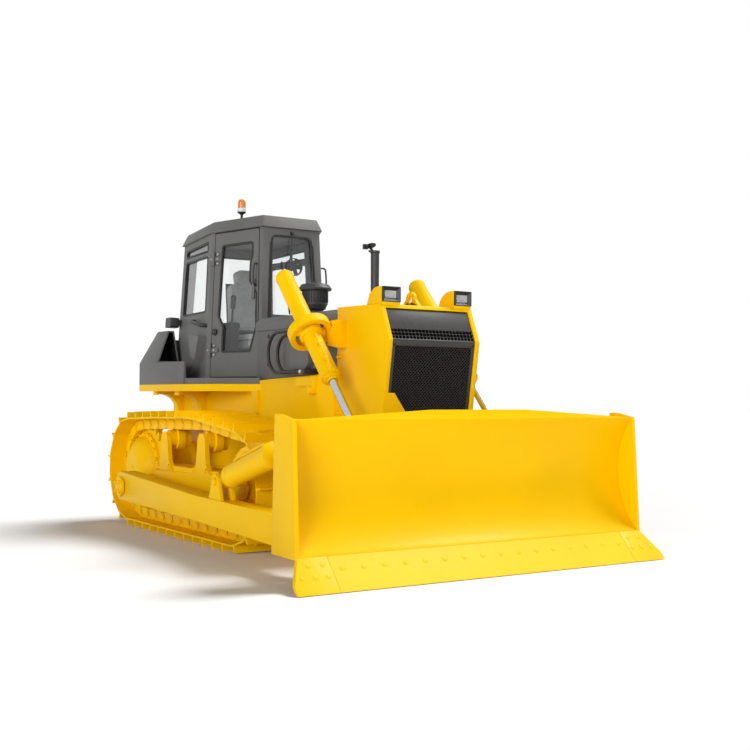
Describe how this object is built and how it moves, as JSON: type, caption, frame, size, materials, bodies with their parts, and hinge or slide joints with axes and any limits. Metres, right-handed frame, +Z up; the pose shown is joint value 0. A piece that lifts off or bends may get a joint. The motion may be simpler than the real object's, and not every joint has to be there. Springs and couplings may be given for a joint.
{
  "type": "crawler bulldozer with a straight blade",
  "caption": "Mid-size crawler bulldozer with a straight blade on outside push arms, lift cylinders, six-sided glazed cab with opening doors and painted tracks.",
  "frame": {"origin": "on the ground, at the centre of the machine's length and width", "axes": "+X forward to the blade, +Y to the machine's left, +Z up"},
  "size_m": [5.14, 3.388, 3.2519],
  "materials": {
    "yellow_paint": "gloss yellow paint",
    "grey_paint": "satin dark grey paint",
    "black_paint": "satin black paint",
    "glass": "clear cab glass",
    "lens": "clear lamp lens",
    "chrome": "polished rod",
    "iron": "dark cast iron",
    "plastic": "black plastic",
    "amber": "amber beacon",
    "seat_cover": "grey seat cover",
    "rubber": "black rubber hose"
  },
  "bodies": {
    "chassis": {"main_frame": "yellow_paint", "engine": "iron", "radiator_core": "black_paint", "radiator_guard": "yellow_paint", "grille": "black_paint", "headlamps": "yellow_paint", "headlamp_lenses": "lens", "hood": "grey_paint", "engine_side_panels": "grey_paint", "exhaust_stack": "black_paint", "pre_cleaner": "plastic", "cylinder_yokes": "yellow_paint", "cab_front": "grey_paint", "cab_side_right": "grey_paint", "cab_side_left": "grey_paint", "cab_rear": "grey_paint", "cab_glass": "glass", "cab_base": "grey_paint", "cab_roof": "grey_paint", "beacon": "amber", "work_lamps": "plastic", "seat": "plastic", "seat_cushion": "seat_cover", "seat_backrest": "seat_cover", "console": "plastic", "hose_fittings": "black_paint", "lift_hose_outer": "rubber", "lift_hose_inner": "rubber", "fenders": "yellow_paint", "fender_boxes": "grey_paint", "fuel_tank": "grey_paint", "drawbar": "yellow_paint", "track_right": "yellow_paint", "track_left": "yellow_paint", "sprockets": "yellow_paint", "final_drives": "yellow_paint", "idlers": "yellow_paint", "track_rollers": "yellow_paint", "carrier_rollers": "yellow_paint", "track_frames": "yellow_paint"},
    "blade": {"moldboard": "yellow_paint", "blade_frame": "yellow_paint", "blade_end_plates": "yellow_paint", "cutting_edge": "yellow_paint", "end_bits": "yellow_paint", "push_arms": "yellow_paint", "tilt_cylinder": "yellow_paint", "blade_brace": "yellow_paint"},
    "right_lift_barrel": {"lift_barrel_right": "yellow_paint"},
    "left_lift_barrel": {"lift_barrel_left": "yellow_paint"},
    "right_lift_rod": {"lift_rod_right": "chrome"},
    "left_lift_rod": {"lift_rod_left": "chrome"},
    "right_door": {"door_right": "grey_paint", "door_glass_right": "glass"},
    "left_door": {"door_left": "grey_paint", "door_glass_left": "glass"}
  },
  "joints": [
    {"name": "blade_lift", "type": "hinge", "parent": "chassis", "child": "blade", "pos_m": [-1.459, 0, 0.43], "axis": [0, -1, 0], "range_deg": [-7.7, 15.5]},
    {"name": "lift_barrel_right_swing", "type": "hinge", "parent": "chassis", "child": "right_lift_barrel", "pos_m": [0.916, -0.692, 1.837], "axis": [0, -1, 0], "range_deg": [-14, 27]},
    {"name": "lift_barrel_left_swing", "type": "hinge", "parent": "chassis", "child": "left_lift_barrel", "pos_m": [0.916, 0.692, 1.837], "axis": [0, -1, 0], "range_deg": [-14, 27]},
    {"name": "lift_rod_right_slide", "type": "slide", "parent": "right_lift_barrel", "child": "right_lift_rod", "axis": [0.6772, 0, -0.7358], "range_m": [-0.7, 0.35]},
    {"name": "lift_rod_left_slide", "type": "slide", "parent": "left_lift_barrel", "child": "left_lift_rod", "axis": [0.6772, 0, -0.7358], "range_m": [-0.7, 0.35]},
    {"name": "door_right_swing", "type": "hinge", "parent": "chassis", "child": "right_door", "pos_m": [-1.22104, -0.60351, 2.18016], "axis": [0.0189, -0.0439, -0.9989], "range_deg": [0, 100]},
    {"name": "door_left_swing", "type": "hinge", "parent": "chassis", "child": "left_door", "pos_m": [-1.22104, 0.60351, 2.18016], "axis": [-0.0189, -0.0439, 0.9989], "range_deg": [0, 100]}
  ],
  "couplings": [
    {"joint": "lift_barrel_right_swing", "follows": "blade_lift", "ratio": 1.645},
    {"joint": "lift_barrel_left_swing", "follows": "blade_lift", "ratio": 1.645},
    {"joint": "lift_rod_right_slide", "follows": "blade_lift", "m_per_rad": -2.5},
    {"joint": "lift_rod_left_slide", "follows": "blade_lift", "m_per_rad": -2.5}
  ]
}
